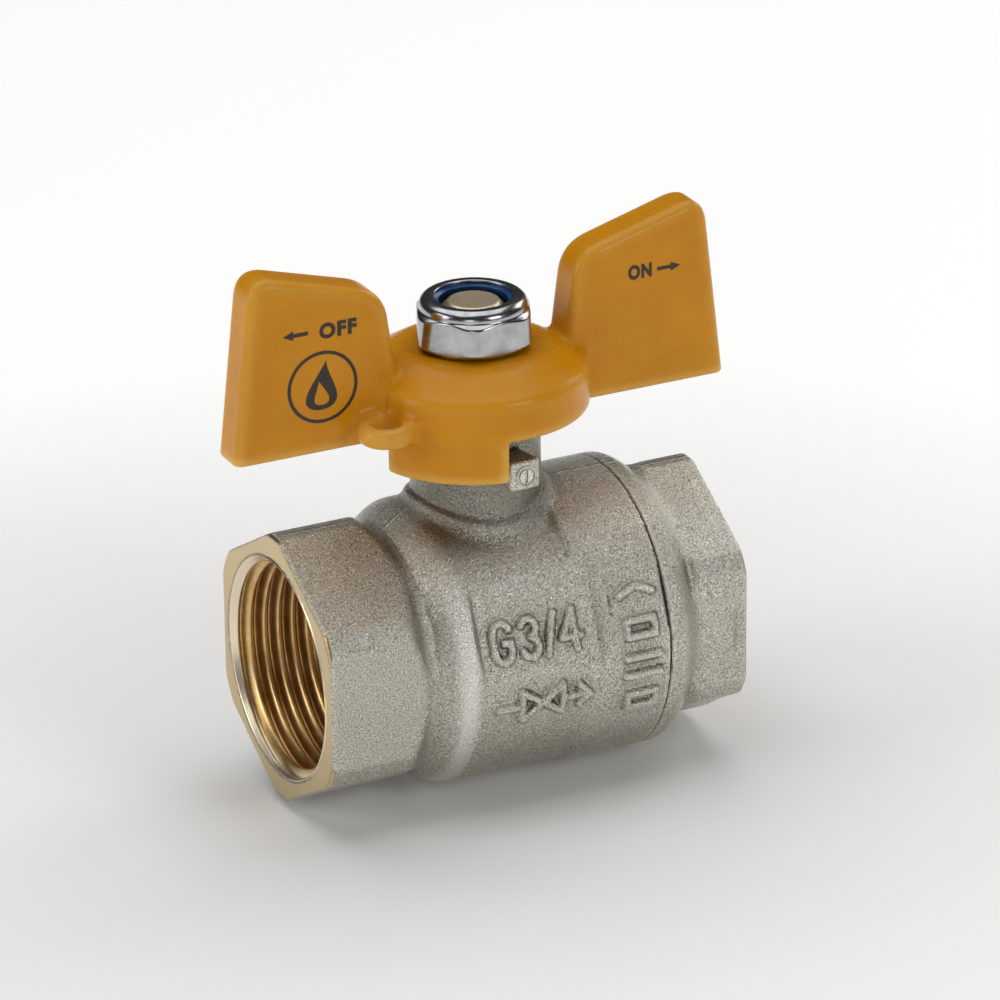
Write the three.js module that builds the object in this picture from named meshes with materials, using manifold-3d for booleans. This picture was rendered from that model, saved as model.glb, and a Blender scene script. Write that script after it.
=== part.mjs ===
// Two-piece G 3/4 brass ball valve for gas, with a butterfly handle, shown open.
// Millimetres, +Z up. The flow runs along X, from the body to the end cap, and the stem axis is Z.
// The origin is where the two axes cross, in the middle of the ball.

import * as THREE from "three";
import { mergeVertices } from "three/addons/utils/BufferGeometryUtils.js";
import Module from "manifold-3d";

const wasm = await Module();
wasm.setup();

// ---------------------------------------------------------------------------
// Driving dimensions. A "reach" is measured along X from the stem axis, and
// a height along Z from the flow axis.
// ---------------------------------------------------------------------------

const gap = 0.3; // clearance between two pieces that touch or slide
const sealGap = 0.2; // clearance around a rubber ring in its groove
const wide = 48; // facets round a large diameter
const fine = 32; // facets round a small diameter

// Ball and seats
const flowRadius = 9;
const ballWall = 4.5; // from the flow bore to the ball's surface
const chamberClearance = 0.7; // radial room between the ball and the chamber
const seatBoreStep = 0.2; // how much wider a seat's bore is than the ball's
const seatFaceWidth = 2.45; // radial width of the face that follows the ball
const seatRimWidth = 0.65;
const seatBackWall = 1.9; // behind the face's inner edge
const seatProud = 1.6; // how far a seat stands out of its pocket's mouth

// Ports, G 3/4 to ISO 228: the bores are at the thread's minor diameter.
const portMinorDiameter = 24.117;
const socketDepth = 11.8;
const inletPortWall = 1.5; // between the bottom of the port and the seat's pocket
const outletPortWall = 3.7;
const inletAcrossFlats = 30;
const outletAcrossFlats = 29;
const hexCornerTurn = 0.7; // how much turning takes off a hexagon's corners along the bar
const hexCornerCut = 1.1; // and at its face, at 45 degrees
const inletHexLength = 11.6;

// Barrel
const waistWall = 2.7; // of the round waist between the inlet hexagon and the shoulder
const barrelWall = 2.7;
const bandStep = 0.5; // how much the band next to the end cap stands out
const bandWidth = 11.1;
const bandSlope = 1.2; // length of the slope up to the band
const shoulderSetback = 0.5; // from the back of the seat's pocket to the shoulder's start
const shoulderLength = 5.6;

// End cap
const spigotStep = 0.1; // how much the spigot is wider than the chamber
const spigotLength = 7.5;
const flangeLength = 1.4;
const flangeRound = 3; // length of the rounded edge behind the flange
const hexOverlap = 0.6; // of the outlet hexagon with that rounded edge
const sealCord = 0.9; // thickness of the ring between the body and the end cap

// Stem and its packing
const stemRadius = 4.5;
const shoulderStep = 1.4; // of the inner shoulder, which stops the stem from blowing out
const shoulderThickness = 1.8;
const washerThickness = 0.9;
const tangThickness = 4;
const tangDepth = 2.7; // how far the tang reaches into the ball
const ringCord = 1.5; // thickness of the stem's two rubber rings
const ringDepths = [9, 5.5]; // of the lower and the upper ring below the neck's top
const grooveHeight = 2;
const stemFlatsHalf = 3; // half the distance across the flats for the handle
const stemThreadRadius = 3.85;
const stemSunk = 0.6; // how far the stem's end lies below the nut's top

// Neck with its stops: two lugs, and a quarter skirt on the handle that turns between them.
const neckWall = 1.8;
const neckGap = 2.3; // between the neck's top and the handle's web
const quarterTurn = 90;
const stopLugHalfAngle = 10;
const stopSlack = 1.8; // degrees left between the skirt and a lug
const stopLugCatch = 1.1; // how far a lug reaches under the skirt's wall
const stopLugRise = 4.6; // from the barrel to the lugs' underside
const stopLugHeight = 3.7;
const skirtMiddle = 228.3; // direction of the skirt's middle with the valve open, degrees from +X

// Handle
const skirtRoom = 2.7; // from the neck to the skirt
const skirtWall = 2.6;
const skirtRise = 1.9; // from the lugs' underside to the skirt's lower edge
const hubClearance = 3.1; // from the lugs' top to the hub's rim
const hubRimHeight = 4.9;
const hubConeHeight = 2.5;
const hubWebThickness = 3.9;
const hubTopMargin = 1.5; // round the nut's corners
const wingSpan = 62.4;
const wingThickness = 5.4;
const wingRound = 1.2;
const wingDrop = 1.3; // of the wings' lower edge below the hub's rim
const wingOuterHeight = 22.2; // of a wing at its outer end
const wingInnerHeight = 18.2; // and at its inner end
const wingRootMargin = 1.9; // from the hub's flat top to the wing's inner edge
const wingCornerRadius = 2.6;
const wingEndLean = 2.4; // how much further in the wing's outer end is at the top
const tieLugWall = 1.8;
const tieHoleRadius = 1.6;
const tieHoleMargin = 0.2; // from the hub to the hole
const tieLugThickness = 2.3;
const tieLugDirection = 202.6; // degrees from +X

// Self-locking nut and its nylon ring
const nutAcrossFlats = 13;
const nutHexHeight = 4.2;
const nutCollarHeight = 1.4;
const nutCollarStep = 0.2; // how much smaller the collar's radius is than the nut's flats
const nutMouthStep = 0.25; // how much wider the collar's mouth is than the bore
const nutTurn = 6; // direction of one corner, degrees from +X
const insertThickness = 0.8;
const insertWidth = 1.1;

// ---------------------------------------------------------------------------
// Values that follow from the dimensions above
// ---------------------------------------------------------------------------

// Ball, seats and chamber
const ballRadius = flowRadius + ballWall;
const chamberRadius = ballRadius + chamberClearance;
const seatInnerRadius = flowRadius + seatBoreStep;
const seatContactRadius = seatInnerRadius + seatFaceWidth;
const seatOuterRadius = seatContactRadius + seatRimWidth;
const seatFaceRadius = ballRadius + gap;
const seatFrontReach = Math.sqrt(seatFaceRadius ** 2 - seatContactRadius ** 2);
const seatBackReach = Math.sqrt(seatFaceRadius ** 2 - seatInnerRadius ** 2) + seatBackWall;
const seatPocketRadius = seatOuterRadius + gap;
const seatPocketReach = seatBackReach + gap;

// Body and end cap
const portRadius = portMinorDiameter / 2;
const inletReach = seatPocketReach + inletPortWall + socketDepth;
const outletReach = seatPocketReach + outletPortWall + socketDepth;
const waistRadius = portRadius + waistWall;
const barrelRadius = chamberRadius + barrelWall;
const bandRadius = barrelRadius + bandStep;
const shoulderReach = seatPocketReach - shoulderSetback;
const spigotRadius = chamberRadius + spigotStep;
const spigotBoreRadius = spigotRadius + gap;
const spigotReach = seatFrontReach + seatProud;
const jointReach = spigotReach + spigotLength;
const flangeReach = jointReach + gap;
const sealRadius = spigotRadius + sealGap + sealCord / 2;
const sealPocketRadius = sealRadius + sealCord / 2 + sealGap;
const sealPocketDepth = sealCord + sealGap;

// Neck and stops
const shoulderRadius = stemRadius + shoulderStep;
const counterboreRadius = shoulderRadius + gap;
const neckRadius = counterboreRadius + neckWall;
const neckBoreRadius = stemRadius + gap;
const skirtInnerRadius = neckRadius + skirtRoom;
const stopLugRadius = skirtInnerRadius + stopLugCatch;
const stopLugBottom = barrelRadius + stopLugRise;
const stopLugTop = stopLugBottom + stopLugHeight;
const skirtHalfAngle = (180 - quarterTurn) / 2 - stopLugHalfAngle - stopSlack;
const stopLugOffset = skirtHalfAngle + stopSlack + stopLugHalfAngle;
const stopLugDirections = [skirtMiddle + stopLugOffset, skirtMiddle - quarterTurn - stopLugOffset];

// Handle
const hubRadius = skirtInnerRadius + skirtWall;
const hubBottom = stopLugTop + hubClearance;
const hubRimTop = hubBottom + hubRimHeight;
const hubTop = hubRimTop + hubConeHeight;
const hubWebBottom = hubTop - hubWebThickness;
const skirtBottom = stopLugBottom + skirtRise;
const neckHeight = hubWebBottom - neckGap;
const nutCornerRadius = nutAcrossFlats / Math.sqrt(3);
const hubTopRadius = nutCornerRadius + hubTopMargin;
const wingBottom = hubBottom - wingDrop;
const wingInnerReach = hubTopRadius + wingRootMargin;
const tieLugRadius = tieHoleRadius + tieLugWall;
const tieLugReach = hubRadius + tieHoleMargin + tieHoleRadius;

// Stem, from the ball up
const tangBottom = ballRadius - tangDepth;
const stemShoulderBottom = ballRadius + gap;
const stemShoulderTop = stemShoulderBottom + shoulderThickness;
const washerBottom = stemShoulderTop + gap;
const counterboreTop = washerBottom + washerThickness + gap;
const grooveRadius = neckBoreRadius - sealGap - ringCord - sealGap;
const ringRadius = grooveRadius + sealGap + ringCord / 2;
const ringHeights = ringDepths.map((depth) => neckHeight - depth);
const stemFlatsHeight = hubWebBottom - gap;

// Nut and nylon ring
const nutBottom = hubTop + gap;
const nutHexTop = nutBottom + nutHexHeight;
const nutTop = nutHexTop + nutCollarHeight;
const nutBoreRadius = stemThreadRadius + gap;
const nutCollarRadius = nutAcrossFlats / 2 - nutCollarStep;
const nutMouthRadius = nutBoreRadius + nutMouthStep;
const insertBottom = nutHexTop - insertThickness / 2;
const insertOuterRadius = nutBoreRadius + insertWidth;
const stemTop = nutTop - stemSunk;

// ---------------------------------------------------------------------------
// Solids
// ---------------------------------------------------------------------------

// A closed three.js geometry as a manifold solid.
function solid(geometry) {
  const bare = geometry.clone();
  bare.deleteAttribute("normal");
  bare.deleteAttribute("uv");
  const merged = mergeVertices(bare, 1e-4);
  const index = merged.index.array;
  const triVerts = [];
  for (let i = 0; i < index.length; i += 3) {
    const [a, b, c] = index.slice(i, i + 3);
    if (a !== b && b !== c && c !== a) triVerts.push(a, b, c);
  }
  const mesh = new wasm.Mesh({
    numProp: 3,
    vertProperties: merged.attributes.position.array,
    triVerts: new Uint32Array(triVerts),
  });
  return new wasm.Manifold(mesh);
}

// A manifold solid as a named mesh.
function piece(name, shape, material) {
  const { vertProperties, triVerts } = shape.getMesh();
  const geometry = new THREE.BufferGeometry();
  geometry.setAttribute("position", new THREE.BufferAttribute(vertProperties, 3));
  geometry.setIndex(new THREE.BufferAttribute(triVerts, 1));
  const flat = geometry.toNonIndexed();
  flat.computeVertexNormals();
  const mesh = new THREE.Mesh(flat, material);
  mesh.name = name;
  return mesh;
}

// Turns a profile of [radius, distance along the axis] points about Y.
// A closed profile makes a ring; an open one starts and ends on the axis.
function turned(profile, facets) {
  const points = profile.map(([radius, along]) => new THREE.Vector2(radius, along));
  if (THREE.ShapeUtils.area(points) < 0) points.reverse();
  const open = profile[0][0] === 0;
  if (!open) points.push(points[0].clone());
  return new THREE.LatheGeometry(points, facets);
}

const aboutX = (profile, facets = wide) => solid(turned(profile, facets).rotateZ(-Math.PI / 2));
const aboutZ = (profile, facets = fine) => solid(turned(profile, facets).rotateX(Math.PI / 2));

// A plain cylinder along X or Z between two ends.
const rodX = (radius, from, to, facets) => aboutX(rod(radius, from, to), facets);
const rodZ = (radius, from, to, facets) => aboutZ(rod(radius, from, to), facets);

function rod(radius, from, to) {
  return [
    [0, from],
    [radius, from],
    [radius, to],
    [0, to],
  ];
}

function box(sizeX, sizeY, bottom, top) {
  const geometry = new THREE.BoxGeometry(sizeX, sizeY, top - bottom);
  return solid(geometry.translate(0, 0, (bottom + top) / 2));
}

// A hexagonal bar along X from a port's face inwards, with corners up and down.
// The corners are turned off, and more so at the face.
function hexBar(acrossFlats, face, end) {
  const corner = acrossFlats / Math.sqrt(3);
  const length = Math.abs(end - face);
  const inward = Math.sign(end - face);
  const bar = new THREE.CylinderGeometry(corner, corner, length, 6).rotateZ(-Math.PI / 2);
  const turning = aboutX([
    [0, face],
    [corner - hexCornerCut, face],
    [corner - hexCornerTurn, face + inward * (hexCornerCut - hexCornerTurn)],
    [corner - hexCornerTurn, end],
    [0, end],
  ]);
  return solid(bar.translate((face + end) / 2, 0, 0)).intersect(turning);
}

// A ring sector about Z, between two directions in degrees.
function sector(inner, outer, bottom, top, middle, halfAngle) {
  const from = THREE.MathUtils.degToRad(middle - halfAngle);
  const to = THREE.MathUtils.degToRad(middle + halfAngle);
  const outline = new THREE.Shape();
  outline.absarc(0, 0, outer, from, to, false);
  outline.absarc(0, 0, inner, to, from, true);
  const depth = top - bottom;
  const block = new THREE.ExtrudeGeometry(outline, { depth, bevelEnabled: false, curveSegments: 10 });
  return solid(block.translate(0, 0, bottom));
}

// Points on a quarter round from one profile point to another; it starts along the axis.
function quarterRound([r0, x0], [r1, x1], steps) {
  const points = [];
  for (let i = 0; i <= steps; i++) {
    const angle = ((Math.PI / 2) * i) / steps;
    points.push([r0 + (r1 - r0) * (1 - Math.cos(angle)), x0 + (x1 - x0) * Math.sin(angle)]);
  }
  return points;
}

// ---------------------------------------------------------------------------
// Sub-parts, built about the flow axis and the stem axis
// ---------------------------------------------------------------------------

function bodyShape() {
  const hexEnd = inletHexLength - inletReach;
  const past = 1;
  const barrel = aboutX([
    [0, hexEnd - past],
    [waistRadius, hexEnd - past],
    [waistRadius, -shoulderReach],
    ...quarterRound([barrelRadius, shoulderLength - shoulderReach], [waistRadius, -shoulderReach], 5)
      .reverse()
      .slice(1),
    [barrelRadius, jointReach - bandWidth],
    [bandRadius, jointReach - bandWidth + bandSlope],
    [bandRadius, jointReach],
    [0, jointReach],
  ]);
  const neck = rodZ(neckRadius, 0, neckHeight);
  let outside = barrel.add(hexBar(inletAcrossFlats, -inletReach, hexEnd)).add(neck);
  for (const direction of stopLugDirections) {
    const lug = [stopLugBottom, stopLugTop, direction, stopLugHalfAngle];
    outside = outside.add(sector(neckRadius - past, stopLugRadius, ...lug));
  }
  return outside
    .subtract(rodX(portRadius, -inletReach - past, socketDepth - inletReach))
    .subtract(rodX(seatInnerRadius, -inletReach, 0))
    .subtract(rodX(seatPocketRadius, -seatPocketReach, 0))
    .subtract(rodX(chamberRadius, -seatFrontReach, spigotReach))
    .subtract(rodX(spigotBoreRadius, spigotReach - gap, jointReach + past))
    .subtract(rodX(sealPocketRadius, jointReach - sealPocketDepth, jointReach + past))
    .subtract(rodZ(counterboreRadius, 0, counterboreTop))
    .subtract(rodZ(neckBoreRadius, 0, neckHeight + past));
}

function endCapShape() {
  const flangeEnd = flangeReach + flangeLength;
  const roundEnd = flangeEnd + flangeRound;
  const flange = aboutX([
    [0, spigotReach],
    [spigotRadius, spigotReach],
    [spigotRadius, flangeReach],
    [bandRadius, flangeReach],
    ...quarterRound([bandRadius, flangeEnd], [waistRadius, roundEnd], 5),
    [0, roundEnd],
  ]);
  const past = 1;
  return flange
    .add(hexBar(outletAcrossFlats, outletReach, roundEnd - hexOverlap))
    .subtract(rodX(portRadius, outletReach - socketDepth, outletReach + past))
    .subtract(rodX(seatInnerRadius, 0, outletReach))
    .subtract(rodX(seatPocketRadius, 0, seatPocketReach));
}

// A seat ring whose face follows the ball; side is -1 at the inlet and 1 at the outlet.
function seatShape(side) {
  const outerAngle = Math.asin(seatContactRadius / seatFaceRadius);
  const innerAngle = Math.asin(seatInnerRadius / seatFaceRadius);
  const profile = [
    [seatInnerRadius, seatBackReach],
    [seatOuterRadius, seatBackReach],
    [seatOuterRadius, seatFrontReach],
  ];
  const steps = 6;
  for (let i = 0; i <= steps; i++) {
    const angle = outerAngle + ((innerAngle - outerAngle) * i) / steps;
    profile.push([seatFaceRadius * Math.sin(angle), seatFaceRadius * Math.cos(angle)]);
  }
  return aboutX(profile.map(([radius, along]) => [radius, side * along]));
}

function ballShape() {
  const sphere = solid(new THREE.SphereGeometry(ballRadius, wide, fine / 2).rotateX(Math.PI / 2));
  const slotWidth = tangThickness + 2 * gap;
  const past = 1;
  return sphere
    .subtract(rodX(flowRadius, -ballRadius - past, ballRadius + past))
    .subtract(box(slotWidth, 2 * ballRadius, tangBottom - gap, ballRadius + past));
}

function stemShape() {
  const profile = [
    [0, stemShoulderBottom],
    [shoulderRadius, stemShoulderBottom],
    [shoulderRadius, stemShoulderTop],
    [stemRadius, stemShoulderTop],
  ];
  for (const height of ringHeights) {
    profile.push([stemRadius, height - grooveHeight / 2]);
    profile.push([grooveRadius, height - grooveHeight / 2]);
    profile.push([grooveRadius, height + grooveHeight / 2]);
    profile.push([stemRadius, height + grooveHeight / 2]);
  }
  profile.push([stemRadius, stemFlatsHeight]);
  profile.push([stemThreadRadius, stemFlatsHeight]);
  profile.push([stemThreadRadius, stemTop]);
  profile.push([0, stemTop]);
  const tang = box(tangThickness, 2 * stemRadius, tangBottom, stemShoulderTop);
  return aboutZ(profile).subtract(flatsCut(stemFlatsHalf)).add(tang);
}

// The two side blocks that a shaft or a hole loses to its flats, from the handle's web to the stem's end.
function flatsCut(half) {
  const thickness = stemRadius;
  const past = 1;
  const block = box(4 * stemRadius, thickness, stemFlatsHeight, stemTop + past);
  const shift = half + thickness / 2;
  return block.translate([0, shift, 0]).add(block.translate([0, -shift, 0]));
}

// A toroidal seal about X or Z.
function sealRing(radius, cord) {
  return new THREE.TorusGeometry(radius, cord / 2, 8, fine);
}

function washerShape() {
  const top = washerBottom + washerThickness;
  return aboutZ([
    [neckBoreRadius, washerBottom],
    [shoulderRadius, washerBottom],
    [shoulderRadius, top],
    [neckBoreRadius, top],
  ]);
}

// One wing of the handle, standing in the XZ plane; side is 1 or -1 along X.
function wingShape(side) {
  const inside = wingRound;
  const outer = wingSpan / 2 - inside;
  const inner = wingInnerReach + inside;
  const root = skirtInnerRadius;
  const bottom = wingBottom + inside;
  const low = wingBottom + wingInnerHeight - inside;
  const high = wingBottom + wingOuterHeight - inside;
  const outline = new THREE.Shape();
  const radius = wingCornerRadius - inside;
  const corners = [
    new THREE.Vector2(outer, bottom),
    new THREE.Vector2(outer - wingEndLean, high),
    new THREE.Vector2(inner + 1, low),
    new THREE.Vector2(inner, hubTop),
    new THREE.Vector2(root, hubRimTop - inside),
    new THREE.Vector2(root, bottom),
  ];
  corners.forEach((corner, i) => {
    const before = corners[(i + corners.length - 1) % corners.length];
    const after = corners[(i + 1) % corners.length];
    const enter = corner.clone().add(before.clone().sub(corner).setLength(radius));
    const leave = corner.clone().add(after.clone().sub(corner).setLength(radius));
    const rounded = i === 1 || i === 2;
    if (i === 0) outline.moveTo(corner.x, corner.y);
    else if (rounded) {
      outline.lineTo(enter.x, enter.y);
      outline.quadraticCurveTo(corner.x, corner.y, leave.x, leave.y);
    } else outline.lineTo(corner.x, corner.y);
  });
  const depth = wingThickness - 2 * inside;
  const plate = new THREE.ExtrudeGeometry(outline, {
    depth,
    bevelThickness: inside,
    bevelSize: inside,
    bevelSegments: 3,
    curveSegments: 5,
  });
  const upright = plate.translate(0, 0, -depth / 2).rotateX(Math.PI / 2);
  return solid(upright.rotateZ(side > 0 ? 0 : Math.PI));
}

function handleShape() {
  const hub = aboutZ(
    [
      [0, hubBottom],
      [hubRadius, hubBottom],
      [hubRadius, hubRimTop],
      [hubTopRadius, hubTop],
      [0, hubTop],
    ],
    wide,
  );
  const skirt = sector(
    skirtInnerRadius,
    hubRadius,
    skirtBottom,
    hubBottom + 1,
    skirtMiddle,
    skirtHalfAngle,
  );
  const direction = THREE.MathUtils.degToRad(tieLugDirection);
  const tieLug = (radius, past) =>
    rodZ(radius, hubBottom - past, hubBottom + tieLugThickness + past).translate([
      tieLugReach * Math.cos(direction),
      tieLugReach * Math.sin(direction),
      0,
    ]);
  const past = 1;
  const hole = rodZ(stemThreadRadius + gap, hubWebBottom - past, hubTop + past);
  return hub
    .add(wingShape(1))
    .add(wingShape(-1))
    .subtract(rodZ(skirtInnerRadius, hubBottom - 2 * past, hubWebBottom, wide))
    .add(skirt)
    .add(tieLug(tieLugRadius, 0))
    .subtract(tieLug(tieHoleRadius, past))
    .subtract(hole.subtract(flatsCut(stemFlatsHalf + gap)));
}

function nutShape() {
  const corner = nutCornerRadius;
  const bar = new THREE.CylinderGeometry(corner, corner, nutHexHeight, 6).rotateX(Math.PI / 2);
  const turn = THREE.MathUtils.degToRad(nutTurn + 90);
  const placed = solid(bar.rotateZ(turn).translate(0, 0, nutBottom + nutHexHeight / 2));
  const chamfer = (corner - nutCollarRadius) / 2;
  const turning = aboutZ([
    [0, nutBottom],
    [nutCollarRadius, nutBottom],
    [corner, nutBottom + chamfer],
    [corner, nutHexTop - chamfer],
    [nutCollarRadius, nutHexTop],
    [0, nutHexTop],
  ]);
  const roundStart = nutTop - nutCollarHeight / 2;
  const collar = aboutZ([
    [0, nutBottom],
    [nutCollarRadius - gap, nutBottom],
    ...quarterRound([nutCollarRadius - gap, roundStart], [nutMouthRadius + gap, nutTop], 4),
    [0, nutTop],
  ]);
  const past = 1;
  return placed
    .intersect(turning)
    .add(collar)
    .subtract(rodZ(nutBoreRadius, nutBottom - past, nutTop))
    .subtract(rodZ(insertOuterRadius + gap, insertBottom - gap, insertBottom + insertThickness + gap))
    .subtract(rodZ(nutMouthRadius, insertBottom, nutTop + past));
}

function insertShape() {
  const top = insertBottom + insertThickness;
  return aboutZ([
    [nutBoreRadius, insertBottom],
    [insertOuterRadius, insertBottom],
    [insertOuterRadius, top],
    [nutBoreRadius, top],
  ]);
}

// ---------------------------------------------------------------------------
// Materials and assembly
// ---------------------------------------------------------------------------

const finish = (color, roughness, metalness) =>
  new THREE.MeshStandardMaterial({ color, roughness, metalness });

const nickel = () => finish(0xa5a296, 0.5, 1);
const yellowPaint = () => finish(0xd9940f, 0.3, 0);
const brass = () => finish(0xc9a468, 0.35, 1);
const chrome = () => finish(0xd8d8da, 0.12, 1);
const ptfe = () => finish(0xf2f0ea, 0.5, 0);
const rubber = () => finish(0x1b1b1c, 0.6, 0);
const blueNylon = () => finish(0x1f4a80, 0.45, 0);

// What stays still on the pipe.
const fixed = new THREE.Group();
fixed.add(piece("valve_body", bodyShape(), nickel()));
fixed.add(piece("end_cap", endCapShape(), nickel()));
fixed.add(piece("seat_inlet", seatShape(-1), ptfe()));
fixed.add(piece("seat_outlet", seatShape(1), ptfe()));
fixed.add(piece("stem_thrust_washer", washerShape(), ptfe()));
const capSeal = piece("end_cap_seal", solid(sealRing(sealRadius, sealCord)), rubber());
capSeal.rotation.y = Math.PI / 2;
capSeal.position.x = flangeReach - gap - sealCord / 2;
fixed.add(capSeal);

// What turns about the stem axis.
const turning = new THREE.Group();
turning.add(piece("stem", stemShape(), brass()));
["stem_ring_lower", "stem_ring_upper"].forEach((name, i) => {
  const ring = piece(name, solid(sealRing(ringRadius, ringCord)), rubber());
  ring.position.z = ringHeights[i];
  turning.add(ring);
});
turning.add(piece("handle", handleShape(), yellowPaint()));
turning.add(piece("handle_nut", nutShape(), chrome()));
turning.add(piece("nut_insert", insertShape(), blueNylon()));
turning.add(piece("ball", ballShape(), chrome()));

const group = new THREE.Group();
group.add(fixed, turning);

export default group;
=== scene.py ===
"""The looks of a two-piece G 3/4 brass gas ball valve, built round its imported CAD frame.

Lengths are in millimetres until a mesh is made, and metres after that. The flow runs along X, the
stem axis is Z, and the origin is where they cross. Curved forgings and castings are signed-distance
fields that are polygonised here, so that their edges and fillets are soft, as the real ones are.
"""

import math

import bpy
import numpy as np
from mathutils import Matrix, Vector


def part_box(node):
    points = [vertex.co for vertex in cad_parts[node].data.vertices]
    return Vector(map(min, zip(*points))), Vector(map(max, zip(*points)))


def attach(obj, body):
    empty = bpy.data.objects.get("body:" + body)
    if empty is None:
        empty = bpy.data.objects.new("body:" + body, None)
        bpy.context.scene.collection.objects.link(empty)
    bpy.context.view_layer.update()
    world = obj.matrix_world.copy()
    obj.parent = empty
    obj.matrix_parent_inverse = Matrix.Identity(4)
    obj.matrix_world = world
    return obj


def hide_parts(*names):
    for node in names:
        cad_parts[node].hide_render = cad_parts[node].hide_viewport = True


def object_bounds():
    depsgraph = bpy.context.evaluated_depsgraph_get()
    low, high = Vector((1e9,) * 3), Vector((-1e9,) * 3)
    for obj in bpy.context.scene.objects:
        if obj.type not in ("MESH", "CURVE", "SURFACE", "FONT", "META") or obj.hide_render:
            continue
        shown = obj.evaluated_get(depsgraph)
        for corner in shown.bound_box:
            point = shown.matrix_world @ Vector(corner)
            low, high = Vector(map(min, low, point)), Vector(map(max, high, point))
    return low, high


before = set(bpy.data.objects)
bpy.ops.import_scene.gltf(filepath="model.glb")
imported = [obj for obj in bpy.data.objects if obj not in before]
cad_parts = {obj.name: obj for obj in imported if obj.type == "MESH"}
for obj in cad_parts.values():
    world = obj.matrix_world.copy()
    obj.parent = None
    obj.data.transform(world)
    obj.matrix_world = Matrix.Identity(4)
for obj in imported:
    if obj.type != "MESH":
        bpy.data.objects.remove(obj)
CAD_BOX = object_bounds()
MM = 0.001

# ---------------------------------------------------------------------------
# Sizes: places come from the CAD nodes, and the rest are the object's own
# ---------------------------------------------------------------------------


def span(node):
    """Lowest and highest corner of a CAD node, in millimetres."""
    low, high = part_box(node)
    return np.array(low) / MM, np.array(high) / MM


BODY_LOW, BODY_HIGH = span("valve_body")
CAP_LOW, CAP_HIGH = span("end_cap")
STEM_LOW, STEM_HIGH = span("stem")
HANDLE_LOW, HANDLE_HIGH = span("handle")
NUT_LOW, NUT_HIGH = span("handle_nut")
INSERT_LOW, INSERT_HIGH = span("nut_insert")
WASHER_LOW, WASHER_HIGH = span("stem_thrust_washer")

INLET_FACE, JOINT_FACE, NECK_TOP = BODY_LOW[0], BODY_HIGH[0], BODY_HIGH[2]
SPIGOT_FACE, OUTLET_FACE = CAP_LOW[0], CAP_HIGH[0]
BALL_RADIUS = span("ball")[1][1]
HALF_SPAN = HANDLE_HIGH[0]

# Ports, with the ISO 228 thread G 3/4
THREAD_PITCH = 1.814
THREAD_MAJOR = 26.441 / 2
THREAD_MINOR = 24.117 / 2
PORT_RADIUS = 13.35
PORT_DEPTH = 11.8
PORT_PLAY = 0.08  # between a forging and the thread piece in its port
CHAMFER_DEPTH = 1.15
CHAMFER_END = 12.35
RUN_OUT = 1.2  # length of the plain land behind a thread
FLOW_RADIUS = 9.0
PASSAGE_STEP = 0.2  # how much wider than the ball's bore the passages beside it are

# Forgings
INLET_FLATS = 30.0
OUTLET_FLATS = 29.0
HEX_EDGE = 0.25
INLET_CORNERS = 16.6  # radius to which a hexagon's corners are turned
OUTLET_CORNERS = 16.1
CORNER_CUT = 16.2  # radius of the 45 degree cut where it meets a port's face
INLET_HEX_END = -13.5
OUTLET_HEX_START = 4.6  # behind the flange's face
OUTLET_HEX_ROOT = 15.6
WAIST = 14.75
WAIST_START = -15.5  # inside the hexagon
BARREL = 16.9
BAND = 17.4
SHOULDER_START = -12.0
SHOULDER_END = -7.9
BAND_START = 5.3
BAND_END = 6.6
NECK_RADIUS = 7.6
PAD_RADIUS = 8.3
PAD_REACH = 18.3
NECK_BORE = 4.8
COUNTERBORE = 6.2
COUNTERBORE_TOP = 17.1
CHAMBER_RADIUS = 14.2
CHAMBER_START = -7.0
CHAMBER_END = 8.9
SPIGOT_RADIUS = 14.3
SPIGOT_BORE = 14.6
FLANGE_DROP_START = 1.3  # behind the flange's face
FLANGE_DROP_END = 5.6
SEAT_POCKET = 12.6
SEAT_REACH = 12.5
SEAM = 0.1  # gap between the body's and the end cap's outside

# Stops and handle
LUG_RADIUS = 11.8
LUG_BOTTOM = 21.5
LUG_TOP = 25.2
LUG_HALF_ANGLE = 10.0
LUG_MARK_RADIUS = 1.25
LUG_DIRECTIONS = (273.35, 93.25)
HUB_RADIUS = 13.3
HUB_BOTTOM = 28.3
HUB_RIM = 33.2
HUB_TOP = 35.7
HUB_FLAT = 9.0
HUB_CAVITY = 10.7
WEB_BOTTOM = 31.8
SKIRT_MIDDLE = 228.3
SKIRT_HALF_ANGLE = 33.2
WING_HALF = 2.7
WING_ROUND = 1.15
TIE_DIRECTION = 202.6
TIE_REACH = 15.1
TIE_RADIUS = 3.4
TIE_HOLE = 1.6
TIE_TOP = 30.6

# A wing's edges, each a line between two points given as (distance from the stem axis, height)
WING_BOTTOM = HANDLE_LOW[2] + 3.6
WING_TOP = HANDLE_HIGH[2]
WING_OUTER_EDGE = ((HALF_SPAN, WING_BOTTOM), (HALF_SPAN - 2.5, WING_TOP))
WING_UPPER_EDGE = ((HALF_SPAN - 3.7, WING_TOP + 0.3), (12.9, WING_TOP - 3.8))
WING_INNER_EDGE = ((11.9, WING_TOP - 6), (10.9, HUB_TOP))

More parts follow.
